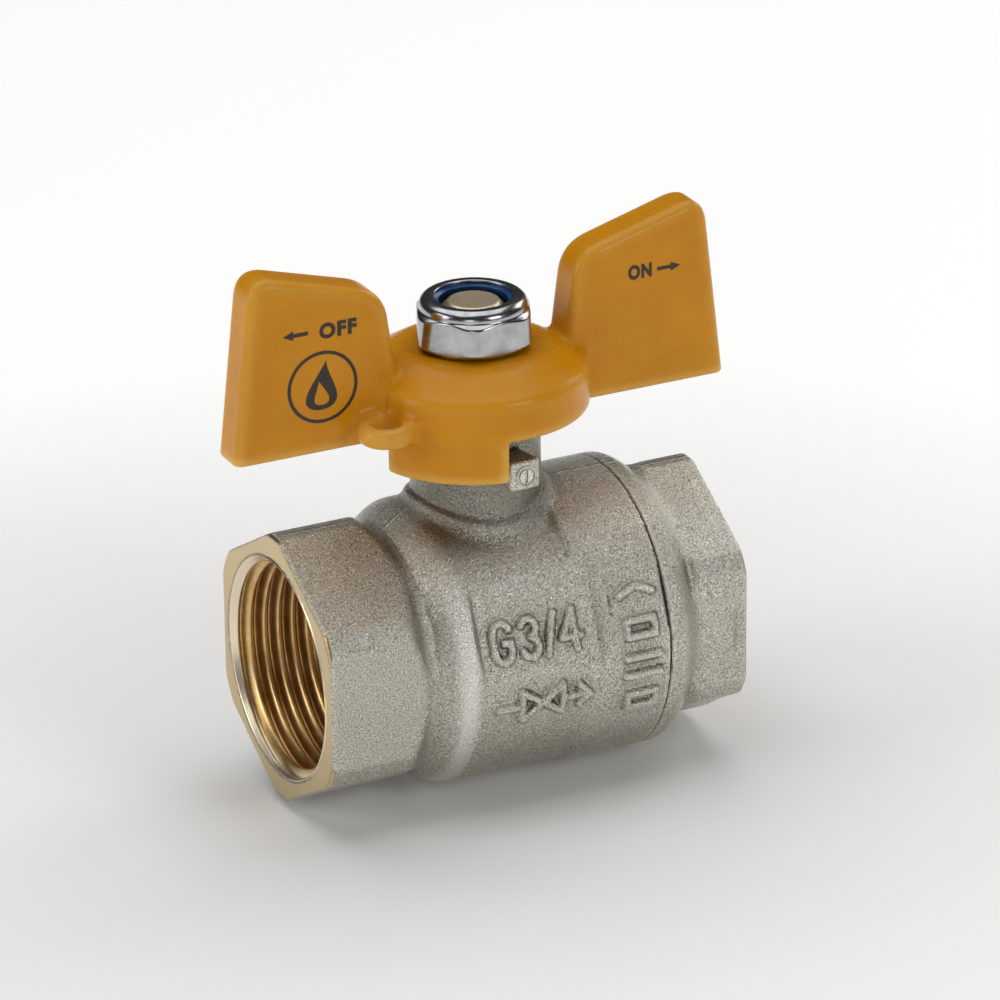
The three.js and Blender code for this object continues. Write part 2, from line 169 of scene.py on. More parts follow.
# Stem and nut
STEM_RADIUS = 4.5
STEM_THREAD = 3.85
STEM_PITCH = 1.0
STEM_FLAT = 3.0
STEM_SHOULDER = 5.9
STEM_SHOULDER_TOP = 15.6
STEM_SPLIT = WEB_BOTTOM - 0.3  # where the round shaft ends and the thread with its flats starts
THREAD_HEIGHT = 0.55
TANG_HALF_THICKNESS = 2.0
TANG_HALF_WIDTH = 4.4
SLOT_HALF_WIDTH = 2.3
SLOT_FLOOR = 10.5
RING_HEIGHTS = (20.5, 24.0)
GROOVE_FLOOR = 2.9
GROOVE_HALF_WIDTH = 1.0
NUT_FLATS = 13.0
NUT_TURN = 6.0
NUT_HEX_TOP = NUT_LOW[2] + 4.2
NUT_COLLAR = 6.3
NUT_COLLAR_ROUND = 1.1
NUT_POCKET = 5.35
NUT_MOUTH = 4.5
NUT_CORNER_TOP = 6.95  # radius to which the hexagon's corners are turned at its top
NUT_CORNER_GROWTH = 0.07  # and how that radius grows downwards
NYLON_TOP = NUT_HIGH[2] - 0.36
NYLON_BORE = 4.0
NUT_BORE = 4.15


# ---------------------------------------------------------------------------
# Signed-distance tools: below zero is inside
# ---------------------------------------------------------------------------


def union(a, b, soft):
    """The union of two fields, with a fillet about soft wide where they meet."""
    share = np.clip(0.5 + 0.5 * (b - a) / soft, 0, 1)
    return b + (a - b) * share - soft * share * (1 - share)


def common(a, b, soft):
    """The intersection of two fields, with an edge rounded over about soft."""
    return -union(-a, -b, soft)


def cut(a, b, soft):
    """a without b."""
    return -union(-a, b, soft)


def ramp(value, start, end):
    """Goes smoothly from 0 at start to 1 at end."""
    share = np.clip((value - start) / (end - start), 0, 1)
    return share * share * (3 - 2 * share)


def slab(value, low, high):
    """The space between two parallel planes."""
    return np.abs(value - (low + high) / 2) - (high - low) / 2


def hexagon(across, along, flats, soft):
    """A hexagonal bar seen from its end, with flats at both ends of the across axis."""
    tilt = math.sqrt(3) / 2
    first = common(np.abs(across), np.abs(across / 2 + along * tilt), soft)
    return common(first, np.abs(across / 2 - along * tilt), soft) - flats / 2


def wedge(x, y, direction, half_angle):
    """The space within half_angle degrees of a direction about Z."""
    middle = math.radians(direction)
    along = x * math.cos(middle) + y * math.sin(middle)
    side = np.abs(y * math.cos(middle) - x * math.sin(middle))
    half = math.radians(half_angle)
    return side * math.cos(half) - along * math.sin(half)


def helix_depth(along, angle, pitch):
    """Height of a right-hand V thread with rounded crests, from 0 at the root to 1."""
    wave = np.abs(2 * ((along / pitch - angle / (2 * math.pi)) % 1) - 1)
    return ramp(0.5 + (wave - 0.5) * 1.15, -0.12, 1.12)


# ---------------------------------------------------------------------------
# Meshes
# ---------------------------------------------------------------------------


def make_piece(name, points, faces, body, slot, material, nodes=(), normals=None):
    """A mesh piece from points in millimetres, riding on a CAD body."""
    mesh = bpy.data.meshes.new(name)
    mesh.from_pydata((np.asarray(points) * MM).tolist(), [], np.asarray(faces).tolist())
    mesh.validate()
    mesh.shade_smooth()
    if normals is not None:
        mesh.normals_split_custom_set_from_vertices(normals.tolist())
    mesh.materials.append(material)
    piece = bpy.data.objects.new(name, mesh)
    bpy.context.scene.collection.objects.link(piece)
    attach(piece, body)
    if nodes:
        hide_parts(*nodes)
    return piece


def slopes(field, points, step=0.02):
    """The field's gradient at each point."""
    result = np.empty_like(points)
    for axis in range(3):
        shift = np.zeros(3)
        shift[axis] = step
        ahead = field(*(points + shift).T)
        behind = field(*(points - shift).T)
        result[:, axis] = (ahead - behind) / (2 * step)
    return result


def settle(field, points, reach):
    """Moves each point along the gradient onto the field's zero surface."""
    slope = slopes(field, points)
    steep = np.maximum((slope**2).sum(1), 0.05)
    move = slope * (field(*points.T) / steep)[:, None]
    length = np.linalg.norm(move, axis=1)[:, None]
    return points - move * np.minimum(1, reach / np.maximum(length, 1e-9))


def surface_cells(values):
    """Surface nets: the cells that the zero surface crosses, one point in each, and the faces."""
    inside = values < 0
    size = np.array(values.shape) - 1
    corners = [(i, j, k) for i in (0, 1) for j in (0, 1) for k in (0, 1)]
    count = np.zeros(size, np.int8)
    for i, j, k in corners:
        count += inside[i : i + size[0], j : j + size[1], k : k + size[2]]
    cells = np.argwhere((count > 0) & (count < 8))
    number = np.full(size, -1)
    number[tuple(cells.T)] = np.arange(len(cells))
    points = np.zeros((len(cells), 3))
    crossings = np.zeros(len(cells))
    faces = []
    for axis in range(3):
        step = np.eye(3, dtype=int)[axis]
        for corner in corners:
            if corner[axis]:
                continue
            near = values[tuple((cells + corner).T)]
            far = values[tuple((cells + corner + step).T)]
            hit = (near < 0) != (far < 0)
            share = near[hit] / (near[hit] - far[hit])
            points[hit] += np.array(corner) + share[:, None] * step
            crossings[hit] += 1
        low = [slice(1, -1)] * 3
        low[axis] = slice(0, -1)
        high = list(low)
        high[axis] = slice(1, None)
        change = inside[tuple(low)] != inside[tuple(high)]
        edges = np.argwhere(change) + (1 - step)
        one, two = np.eye(3, dtype=int)[(axis + 1) % 3], np.eye(3, dtype=int)[(axis + 2) % 3]
        ring = [edges - one - two, edges - two, edges, edges - one]
        quads = np.stack([number[tuple(cell.T)] for cell in ring], axis=1)
        outward = inside[tuple(edges.T)]
        faces.append(np.where(outward[:, None], quads, quads[:, ::-1]))
    return cells + points / crossings[:, None], np.concatenate(faces)


def polygonise(field, low, high, cell):
    """Points, faces and normals of a field's zero surface between two corners."""
    axes = [np.arange(a - 2 * cell, b + 3 * cell, cell) for a, b in zip(low, high)]
    grid = np.meshgrid(*[axis.astype(np.float32) for axis in axes], indexing="ij", sparse=True)
    points, faces = surface_cells(field(*grid))
    points = points * cell + np.array([axis[0] for axis in axes])
    pairs = np.concatenate([faces[:, [i, (i + 1) % 4]] for i in range(4)])
    number = len(points)
    neighbours = np.bincount(pairs[:, 0], minlength=number)
    for _ in range(3):
        middle = np.empty_like(points)
        for axis in range(3):
            weights = points[pairs[:, 1], axis]
            middle[:, axis] = np.bincount(pairs[:, 0], weights, number) / neighbours
        points = settle(field, points + 0.5 * (middle - points), cell)
    points = settle(field, points, cell / 2)
    normals = slopes(field, points)
    normals /= np.maximum(np.linalg.norm(normals, axis=1), 1e-9)[:, None]
    return points, faces, normals


def field_piece(name, field, box, cell, body, slot, material, nodes=()):
    """A piece made from a field."""
    points, faces, normals = polygonise(field, *box, cell)
    return make_piece(name, points, faces, body, slot, material, nodes, normals)


def loft(rings):
    """Faces between closed rings of points; the last ring joins the first."""
    count, around = rings.shape[:2]
    number = np.arange(count * around).reshape(count, around)
    beside = np.roll(number, -1, axis=1)
    following = np.roll(number, -1, axis=0)
    corner = np.roll(beside, -1, axis=0)
    faces = np.stack([number, beside, corner, following], axis=-1).reshape(-1, 4)
    return rings.reshape(-1, 3), faces


def turned(profile, axis, facets=160):
    """A ring turned about X or Z from a closed profile of [radius, along] points.

    The profile runs so that the metal is on its right as seen in the (along, radius) plane.
    """
    angles = np.linspace(0, 2 * math.pi, facets, endpoint=False)
    profile = np.asarray(profile, float)
    radius, along = profile[:, :1], profile[:, 1:]
    across, up = radius * np.cos(angles), radius * np.sin(angles)
    along = along + 0 * across
    order = [along, across, up] if axis == "x" else [across, up, along]
    return loft(np.stack(order, axis=-1))


def round_profile(low, high, inner, outer, soft, steps=4):
    """A rectangle in the (along, radius) plane with rounded corners."""
    points = []
    corners = [(low, inner, 180), (low, outer, 90), (high, outer, 0), (high, inner, 270)]
    for along, radius, start in corners:
        middle = (along + soft if along == low else along - soft)
        centre = (radius + soft if radius == inner else radius - soft)
        for i in range(steps + 1):
            angle = math.radians(start - 90 * i / steps)
            points.append([centre + soft * math.sin(angle), middle + soft * math.cos(angle)])
    return points


# ---------------------------------------------------------------------------
# Materials
# ---------------------------------------------------------------------------


class Nodes:
    """A short way to write a material's node tree."""

    def __init__(self, name):
        self.material = bpy.data.materials.new(name)
        self.material.use_nodes = True
        self.tree = self.material.node_tree
        self.shader = self.tree.nodes["Principled BSDF"]
        self.place = self.add("ShaderNodeTexCoord").outputs["Object"]

    def add(self, kind, inputs=None, **settings):
        made = self.tree.nodes.new(kind)
        for key, value in settings.items():
            setattr(made, key, value)
        for key, value in (inputs or {}).items():
            self.put(made.inputs[key], value)
        return made

    def put(self, socket, value):
        if isinstance(value, bpy.types.NodeSocket):
            self.tree.links.new(value, socket)
        else:
            socket.default_value = value

    def set(self, **inputs):
        for key, value in inputs.items():
            self.put(self.shader.inputs[key.replace("_", " ")], value)

    def maths(self, operation, *values):
        made = self.add("ShaderNodeMath", operation=operation)
        for socket, value in zip(made.inputs, values):
            self.put(socket, value)
        return made.outputs[0]

    def distance(self, first, second):
        """The length of a flat vector."""
        squares = [self.maths("MULTIPLY", value, value) for value in (first, second)]
        return self.maths("SQRT", self.maths("ADD", *squares))

    def noise(self, size, detail=2.0, roughness=0.5, stretch=None):
        """Noise from 0 to 1 with features about size millimetres wide."""
        place = self.place
        if stretch:
            place = self.add("ShaderNodeMapping", {"Vector": place, "Scale": stretch}).outputs[0]
        inputs = {"Vector": place, "Scale": 1 / (size * MM), "Detail": detail, "Roughness": roughness}
        return self.add("ShaderNodeTexNoise", inputs).outputs["Fac"]

    def remap(self, value, low, high, new_low=0.0, new_high=1.0):
        inputs = {
            "Value": value,
            "From Min": low,
            "From Max": high,
            "To Min": new_low,
            "To Max": new_high,
        }
        return self.add("ShaderNodeMapRange", inputs).outputs[0]

    def mix(self, share, first, second):
        made = self.add("ShaderNodeMix", data_type="RGBA")
        self.put(made.inputs["Factor"], share)
        self.put(made.inputs[6], first)
        self.put(made.inputs[7], second)
        return made.outputs[2]

    def blend(self, share, first, second):
        made = self.add("ShaderNodeMix", {"Factor": share, 2: first, 3: second})
        return made.outputs[0]

    def bump(self, *layers):
        """Stacked bumps, each (height, distance in millimetres, strength)."""
        normal = None
        for height, distance, strength in layers:
            inputs = {"Height": height, "Distance": distance * MM, "Strength": strength}
            if normal is not None:
                inputs["Normal"] = normal
            normal = self.add("ShaderNodeBump", inputs).outputs[0]
        self.put(self.shader.inputs["Normal"], normal)

    def creases(self, reach, inside):
        """1 in the open, and less within reach millimetres of a corner, or of an edge if inside."""
        inputs = {"Distance": reach * MM}
        made = self.add("ShaderNodeAmbientOcclusion", inputs, samples=6, only_local=True, inside=inside)
        return made.outputs["AO"]

    def axes(self):
        made = self.add("ShaderNodeSeparateXYZ", {0: self.place})
        return made.outputs[0], made.outputs[1], made.outputs[2]


def rgb(red, green, blue):
    """A colour given in sRGB from 0 to 255, as the linear colour that shaders take."""
    def linear(value):
        value /= 255
        return value / 12.92 if value <= 0.04045 else ((value + 0.055) / 1.055) ** 2.4

    return (linear(red), linear(green), linear(blue), 1.0)


def forged_nickel(name, face, side):
    """Sand-blasted, nickel-plated brass, with painted shade in its corners and painted highlights on its
    edges.

    It is turned to bare brass on the face of the port at face, and inside that port.
    """
    n = Nodes(name)
    x, y, z = n.axes()
    grain = n.noise(0.19, 2, 0.7)
    pits = n.noise(0.30, 2, 0.6)
    clouds = n.noise(4.5, 3, 0.55)
    radius = n.distance(y, z)
    depth = n.maths("MULTIPLY", n.maths("SUBTRACT", x, face * MM), -side)
    on_face = n.remap(depth, 0.10 * MM, 0.04 * MM)
    slope = n.maths("SUBTRACT", n.maths("SUBTRACT", radius, depth), (CORNER_CUT - 0.12) * MM)
    on_cut = n.remap(slope, 0.0, 0.05 * MM)
    in_port = n.remap(radius, (PORT_RADIUS - 0.02) * MM, (PORT_RADIUS - 0.1) * MM)
    in_port = n.maths("MULTIPLY", in_port, n.remap(depth, (PORT_DEPTH - 0.8) * MM, (PORT_DEPTH - 0.4) * MM))
    on_cut = n.maths("MAXIMUM", on_cut, in_port)
    machined = n.maths("MAXIMUM", on_face, on_cut)
    bare = n.maths("MAXIMUM", n.maths("MULTIPLY", on_face, 0.7), n.maths("MULTIPLY", on_cut, 0.85))
    speckle = n.remap(grain, 0.3, 0.7)
    plated = n.mix(speckle, rgb(122, 119, 107), rgb(252, 250, 238))
    plated = n.mix(n.remap(pits, 0.28, 0.44, 0.7, 0.0), plated, rgb(84, 78, 66))
    plated = n.mix(n.remap(clouds, 0.35, 0.75, 0.0, 0.22), plated, rgb(186, 172, 142))
    # Painted shade round the foot of the neck, under the handle.
    near_neck = n.remap(n.distance(x, y), 10.5 * MM, 8.2 * MM)
    painted_neck_shade = n.maths("MULTIPLY", near_neck, n.remap(z, 12.0 * MM, 16.5 * MM))
    plated = n.mix(n.maths("MULTIPLY", painted_neck_shade, 0.55), plated, rgb(82, 74, 62))
    # A painted highlight along the crest of the inlet shoulder, which is also made a little smoother.
    from_crest = n.maths("ABSOLUTE", n.maths("ADD", x, 9.0 * MM))
    painted_crest_highlight = n.remap(from_crest, 1.5 * MM, 0.5 * MM)
    painted_crest_highlight = n.maths("MULTIPLY", painted_crest_highlight, n.remap(z, 14.0 * MM, 9.0 * MM))
    plated = n.mix(n.maths("MULTIPLY", painted_crest_highlight, 0.55), plated, rgb(255, 254, 250))
    # Painted highlight: lighter along the convex edges.
    plated = n.mix(n.remap(n.creases(0.8, True), 0.9, 0.5, 0.0, 0.6), plated, rgb(252, 248, 236))
    # Painted shade: darker within reach of corners and creases.
    plated = n.mix(n.remap(n.creases(1.1, False), 0.9, 0.45, 0.0, 0.8), plated, rgb(64, 58, 48))
    turned_metal = n.mix(bare, rgb(196, 188, 168), rgb(214, 186, 132))
    n.set(Base_Color=n.mix(machined, plated, turned_metal), Metallic=1.0)
    rough = n.remap(grain, 0.3, 0.7, 0.4, 0.22)
    rough = n.maths("SUBTRACT", rough, n.maths("MULTIPLY", painted_crest_highlight, 0.08))
    n.set(Roughness=n.blend(machined, rough, 0.3))
    still = n.maths("SUBTRACT", 1.0, machined)
    rings = n.maths("SINE", n.maths("MULTIPLY", radius, 2 * math.pi / (0.22 * MM)))
    parting = n.maths("MULTIPLY", n.remap(n.maths("ABSOLUTE", y), 0.32 * MM, 0.1 * MM), still)
    n.bump(
        (parting, 0.10, 0.5),
        (n.maths("MULTIPLY", clouds, still), 0.25, 0.35),
        (n.maths("MULTIPLY", pits, still), 0.12, 0.7),
        (n.maths("MULTIPLY", grain, still), 0.11, 1.0),
        (n.maths("MULTIPLY", rings, machined), 0.004, 0.6),
    )
    return n.material


def cut_brass(name, face):
    """Bare brass with the fine marks of a threading tool, with a painted highlight on the chamfer."""
    n = Nodes(name)
    x = n.axes()[0]
    drift = n.noise(2.4, 3, 0.55)
    lines = n.noise(0.10, 2, 0.5, stretch=(6.0, 0.6, 0.6))
    tint = n.mix(n.remap(drift, 0.3, 0.7), rgb(214, 170, 104), rgb(240, 212, 158))
    tint = n.mix(n.remap(lines, 0.35, 0.7, 0.0, 0.3), tint, rgb(176, 122, 62))
    depth = n.maths("SUBTRACT", abs(face) * MM, n.maths("ABSOLUTE", x))
    # Painted highlight: the chamfer is painted pale.
    painted_chamfer_highlight = n.remap(depth, (CHAMFER_DEPTH + 0.1) * MM, (CHAMFER_DEPTH - 0.05) * MM)
    n.set(Base_Color=n.mix(painted_chamfer_highlight, tint, rgb(246, 232, 204)))
    n.set(Metallic=1.0, Roughness=n.remap(lines, 0.3, 0.7, 0.24, 0.38))
    n.bump((lines, 0.012, 0.5), (drift, 0.05, 0.15))
    return n.material


def yellow_paint():
    """Thick, glossy stoved paint over a casting, with a faint orange peel and painted highlights along its
    edges.
    """
    n = Nodes("yellow_paint")
    peel = n.noise(0.9, 2, 0.5)
    broad = n.noise(6.0, 2, 0.5)
    fine = n.noise(0.16, 2, 0.6)
    tint = n.mix(n.remap(broad, 0.3, 0.7), rgb(207, 135, 4), rgb(215, 145, 8))
    tint = n.mix(n.remap(fine, 0.35, 0.7, 0.0, 0.12), tint, rgb(200, 126, 2))
    # Painted highlight: lighter paint along the convex edges.
    tint = n.mix(n.remap(n.creases(1.5, True), 0.93, 0.55, 0.0, 0.7), tint, rgb(244, 204, 112))
    n.set(Base_Color=tint)
    n.set(Roughness=n.remap(peel, 0.3, 0.7, 0.24, 0.32), Specular_IOR_Level=0.24)
    n.bump((broad, 0.08, 0.2), (peel, 0.014, 0.35), (fine, 0.002, 0.4))
    return n.material


def chrome(name, low, high):
    """Polished chrome plate with light handling marks."""
    n = Nodes(name)
    marks = n.noise(0.5, 4, 0.6, stretch=(1.0, 1.0, 5.0))
    clouds = n.noise(1.8, 2, 0.5)
    n.set(Base_Color=n.mix(n.remap(clouds, 0.3, 0.7), rgb(160, 161, 163), rgb(186, 187, 188)))
    n.set(Metallic=1.0, Roughness=n.remap(marks, 0.35, 0.7, low, high))
    n.bump((clouds, 0.03, 0.12), (marks, 0.004, 0.25))
    return n.material


def blue_nylon():
    """Smooth moulded nylon."""
    n = Nodes("blue_nylon")
    grain = n.noise(0.3, 2, 0.5)
    n.set(Base_Color=n.mix(n.remap(grain, 0.3, 0.7), rgb(24, 62, 112), rgb(44, 92, 150)))
    n.set(Roughness=n.remap(grain, 0.3, 0.7, 0.28, 0.4), Subsurface_Weight=0.05)
    n.bump((grain, 0.02, 0.3))
    return n.material


def stem_brass():
    """The stem's sawn and faced end, dull and slightly tanned."""
    n = Nodes("stem_brass")
    radius = n.distance(*n.axes()[:2])
    rings = n.maths("SINE", n.maths("MULTIPLY", radius, 2 * math.pi / (0.3 * MM)))
    grain = n.noise(0.25, 3, 0.6)
    tint = n.mix(n.remap(grain, 0.3, 0.7), rgb(204, 180, 146), rgb(238, 222, 194))
    n.set(Base_Color=tint, Metallic=0.9, Roughness=n.remap(grain, 0.3, 0.7, 0.3, 0.45))
    n.bump((rings, 0.006, 0.5), (grain, 0.02, 0.5))
    return n.material


def white_ptfe():
    """Waxy white PTFE."""
    n = Nodes("white_ptfe")
    grain = n.noise(0.4, 2, 0.5)
    n.set(Base_Color=n.mix(n.remap(grain, 0.3, 0.7), rgb(226, 224, 216), rgb(244, 243, 238)))
    n.set(Roughness=n.remap(grain, 0.3, 0.7, 0.4, 0.5), Subsurface_Weight=0.1)
    n.bump((grain, 0.01, 0.3))
    return n.material


def black_rubber():
    """Matt black rubber."""
    n = Nodes("black_rubber")
    grain = n.noise(0.2, 3, 0.6)
    n.set(Base_Color=n.mix(n.remap(grain, 0.3, 0.7), rgb(22, 22, 23), rgb(38, 38, 39)))
    n.set(Roughness=n.remap(grain, 0.3, 0.7, 0.5, 0.65))
    n.bump((grain, 0.01, 0.4))
    return n.material


def printing_ink():
    """Pad-printed black ink, thin and a little uneven."""
    n = Nodes("printing_ink")
    grain = n.noise(0.12, 3, 0.6)
    n.set(Base_Color=n.mix(n.remap(grain, 0.35, 0.75), rgb(20, 18, 16), rgb(58, 42, 22)))
    n.set(Roughness=0.42)
    n.bump((grain, 0.004, 0.4))
    return n.material


INLET_NICKEL = forged_nickel("forged_nickel_inlet", INLET_FACE, -1)
OUTLET_NICKEL = forged_nickel("forged_nickel_outlet", OUTLET_FACE, 1)
INLET_BRASS = cut_brass("cut_brass_inlet", INLET_FACE)
OUTLET_BRASS = cut_brass("cut_brass_outlet", OUTLET_FACE)
PAINT = yellow_paint()
NUT_CHROME = chrome("nut_chrome", 0.15, 0.27)
BALL_CHROME = chrome("ball_chrome", 0.03, 0.08)
NYLON = blue_nylon()
STEM_METAL = stem_brass()
PTFE = white_ptfe()
RUBBER = black_rubber()
INK = printing_ink()


# ---------------------------------------------------------------------------
# Raised marks on the body
# ---------------------------------------------------------------------------


def arc(centre_x, centre_y, radius_x, radius_y, start, end, steps=7):
    """Points on an elliptical arc, with angles in degrees."""
    angles = np.radians(np.linspace(start, end, steps))
    return [(centre_x + radius_x * math.cos(a), centre_y + radius_y * math.sin(a)) for a in angles]


# Strokes of each sign in a box one unit wide and two high.
SIGNS = {
    "G": [
        arc(0.5, 1.45, 0.5, 0.55, 20, 180)
        + arc(0.5, 0.55, 0.5, 0.55, 180, 360)
        + [(1, 0.95), (0.6, 0.95)]
    ],
    "3": [arc(0.48, 1.5, 0.46, 0.48, 160, -80) + arc(0.46, 0.52, 0.52, 0.52, 80, -160)],
    "/": [[(0.1, 0), (0.9, 2)]],
    "4": [[(0.75, 0), (0.75, 2), (0, 0.62), (1.05, 0.62)]],
    "tie": [[(0, 0.2), (0, 1.8), (2.6, 0.2), (2.6, 1.8), (0, 0.2)]],
    "dash": [[(0, 1), (1, 1)]],
    "arrow": [[(0, 1), (1.5, 1)], [(0.8, 0.45), (1.5, 1), (0.8, 1.55)]],
    "bar": [[(0, 0), (0, 2)]],
    "chevron": [[(-0.3, 0), (0.3, 1), (-0.3, 2)]],
    "box": [[(-0.4, 0.15), (0.4, 0.15), (0.4, 1.85), (-0.4, 1.85), (-0.4, 0.15)]],
}


def placed_strokes(sign, left, bottom, width, height, upright=True):
    """A sign's strokes as (x, arc length up the barrel) segments."""
    segments = []
    for stroke in SIGNS[sign]:
        if upright:
            points = [(left + width * u, bottom + height / 2 * v) for u, v in stroke]
        else:
            points = [(left + height / 2 * v, bottom + width * u) for u, v in stroke]
        segments += list(zip(points, points[1:]))
    return segments


MARKS = (
    placed_strokes("G", -5.5, 2.9, 2.2, 4.7)
    + placed_strokes("3", -1.9, 2.9, 2.1, 4.7)
    + placed_strokes("/", 0.9, 2.9, 1.7, 4.7)
    + placed_strokes("4", 3.1, 2.9, 2.3, 4.7)
    + placed_strokes("dash", -5.6, -4.9, 2.2, 4.4)
    + placed_strokes("tie", -2.6, -4.9, 2.0, 4.4)
    + placed_strokes("arrow", 3.4, -4.9, 1.7, 4.4)
    + placed_strokes("chevron", 10.6, 8.2, 1.5, 4.2, upright=False)
    + placed_strokes("box", 10.6, 3.9, 2.2, 4.2, upright=False)
    + placed_strokes("bar", 10.6, 0.6, 1.0, 4.2, upright=False)
    + placed_strokes("bar", 10.6, -1.5, 1.0, 4.2, upright=False)
    + placed_strokes("box", 10.6, -4.8, 2.2, 4.2, upright=False)
)
MARK_HALF_WIDTH = 0.45
MARK_RISE = 0.65


def mark_rise(x, y, z):
    """How far the raised marks stand out of the barrel's front at each point."""
    x, y, z = np.broadcast_arrays(x, y, z)
    rise = np.zeros(x.shape, np.float32)
    near = (y < -10) & (np.abs(x - 4.5) < 12) & (np.abs(np.hypot(y, z) - BARREL) < 2)
    along, around = x[near], np.arctan2(z[near], -y[near]) * BARREL
    closest = np.full(along.shape, 9.0)
    for (x0, s0), (x1, s1) in MARKS:
        share = (along - x0) * (x1 - x0) + (around - s0) * (s1 - s0)
        share = np.clip(share / ((x1 - x0) ** 2 + (s1 - s0) ** 2), 0, 1)
        off_x = along - x0 - share * (x1 - x0)
        off_s = around - s0 - share * (s1 - s0)
        closest = np.minimum(closest, np.hypot(off_x, off_s))
    rise[near] = MARK_RISE * ramp(closest, MARK_HALF_WIDTH + 0.26, MARK_HALF_WIDTH - 0.2)
    return rise


# ---------------------------------------------------------------------------
# Forgings
# ---------------------------------------------------------------------------

# Two flat panels on the barrel's front, tilted upwards, carry the raised marks.
PANEL_TILT = math.radians(23)
PANEL_REACH = 15.95
PANEL_START = -7.9
PANEL_END = 8.6
PANEL_WALL_SLOPE = 0.9
BAND_PANEL_REACH = 17.05
BAND_PANEL_START = 9.3


def body_field(x, y, z):
    """The valve body, inside and out."""
    radius = np.sqrt(y * y + z * z)
    about_stem = np.sqrt(x * x + y * y)
    rise = np.sin(np.clip((x - SHOULDER_START) / (SHOULDER_END - SHOULDER_START), 0, 1) * math.pi / 2)
    outline = WAIST + (BARREL - WAIST) * rise + (BAND - BARREL) * ramp(x, BAND_START, BAND_END)
    barrel = common((radius - outline) * 0.93, x - JOINT_FACE, 0.15)
    facing = z * math.sin(PANEL_TILT) - y * math.cos(PANEL_TILT)
    walls = slab(x, PANEL_START, PANEL_END) + PANEL_WALL_SLOPE * (BARREL - facing)
    panel = np.maximum(PANEL_REACH - facing, walls)
    band_panel = np.maximum(BAND_PANEL_REACH - facing, BAND_PANEL_START - x)
    barrel = cut(cut(barrel, panel, 0.3), band_panel, 0.5)
    barrel = barrel - mark_rise(x, y, z)
    bar = hexagon(y, z, INLET_FLATS, HEX_EDGE)
    bar = common(bar, (radius - CORNER_CUT - (x - INLET_FACE)) / math.sqrt(2), 0.2)
    bar = common(bar, radius - INLET_CORNERS, 0.12)
    bar = common(bar, (radius + 0.94 * (x - INLET_HEX_END) - INLET_FLATS / 2) / 1.37, 0.5)
    bar = common(bar, INLET_FACE - x, 0.25)
    solid = union(common(barrel, WAIST_START - x, 0.6), bar, 0.5)
    neck = common(about_stem - NECK_RADIUS, slab(z, 0, NECK_TOP), 0.4)
    pad = common(np.maximum(about_stem - PAD_RADIUS, -z), radius - PAD_REACH, 0.7)
    solid = union(union(solid, pad, 1.6), neck, 0.5)
    for direction in LUG_DIRECTIONS:
        lug = common(about_stem - LUG_RADIUS, slab(z, LUG_BOTTOM, LUG_TOP), 0.5)
        solid = union(solid, common(lug, wedge(x, y, direction, LUG_HALF_ANGLE), 0.5), 0.6)
    solid = cut(solid, np.maximum(radius - PORT_RADIUS, x - INLET_FACE - PORT_DEPTH), 0.12)
    solid = cut(solid, np.maximum(radius - FLOW_RADIUS - PASSAGE_STEP, x), 0.2)
    solid = cut(solid, np.maximum(radius - SEAT_POCKET, slab(x, -SEAT_REACH, 0)), 0.2)
    solid = cut(solid, np.maximum(radius - CHAMBER_RADIUS, slab(x, CHAMBER_START, CHAMBER_END)), 0.3)
    solid = cut(solid, np.maximum(radius - SPIGOT_BORE, SPIGOT_FACE - x), 0.2)
    solid = cut(solid, np.maximum(about_stem - COUNTERBORE, slab(z, 0, COUNTERBORE_TOP)), 0.2)
    return cut(solid, np.maximum(about_stem - NECK_BORE, -z), 0.3)


def cap_field(x, y, z):
    """The end cap: flange, outlet hexagon, and the spigot inside the body."""
    radius = np.sqrt(y * y + z * z)
    flange_face = JOINT_FACE + SEAM
    drop = ramp(x, flange_face + FLANGE_DROP_START, flange_face + FLANGE_DROP_END)
    flange = (radius - (BAND - (BAND - WAIST) * drop)) * 0.9
    flange = common(flange, flange_face - x, 0.15)
    flange = np.maximum(flange, x - OUTLET_FACE + 2)
    bar = hexagon(y, z, OUTLET_FLATS, HEX_EDGE)
    bar = common(bar, (radius - CORNER_CUT + 0.3 + (x - OUTLET_FACE)) / math.sqrt(2), 0.2)
    bar = common(bar, radius - OUTLET_CORNERS, 0.12)
    start = radius - 1.25 * (x - flange_face - OUTLET_HEX_START) - OUTLET_HEX_ROOT
    bar = common(bar, start / 1.6, 0.5)
    bar = common(bar, x - OUTLET_FACE, 0.25)
    solid = union(flange, bar, 0.9)
    spigot = np.maximum(radius - SPIGOT_RADIUS, slab(x, SPIGOT_FACE, flange_face + 2))
    solid = np.minimum(solid, spigot)
    solid = cut(solid, np.maximum(radius - PORT_RADIUS, OUTLET_FACE - PORT_DEPTH - x), 0.12)
    solid = cut(solid, radius - FLOW_RADIUS - PASSAGE_STEP, 0.2)
    return cut(solid, np.maximum(radius - SEAT_POCKET, slab(x, 0, SEAT_REACH)), 0.2)


def make_forgings():
    low = [INLET_FACE, -18, -18]
    high = [JOINT_FACE, 18, NECK_TOP]
    field_piece(
        "forged_body", body_field, (low, high), 0.372, "fixed_body", "nickel_plated_brass",
        INLET_NICKEL, ["valve_body"],
    )
    low = [SPIGOT_FACE, -18, -18]
    high = [OUTLET_FACE, 18, 18]
    field_piece(
        "forged_end_cap", cap_field, (low, high), 0.34, "fixed_body", "nickel_plated_brass",
        OUTLET_NICKEL, ["end_cap"],
    )


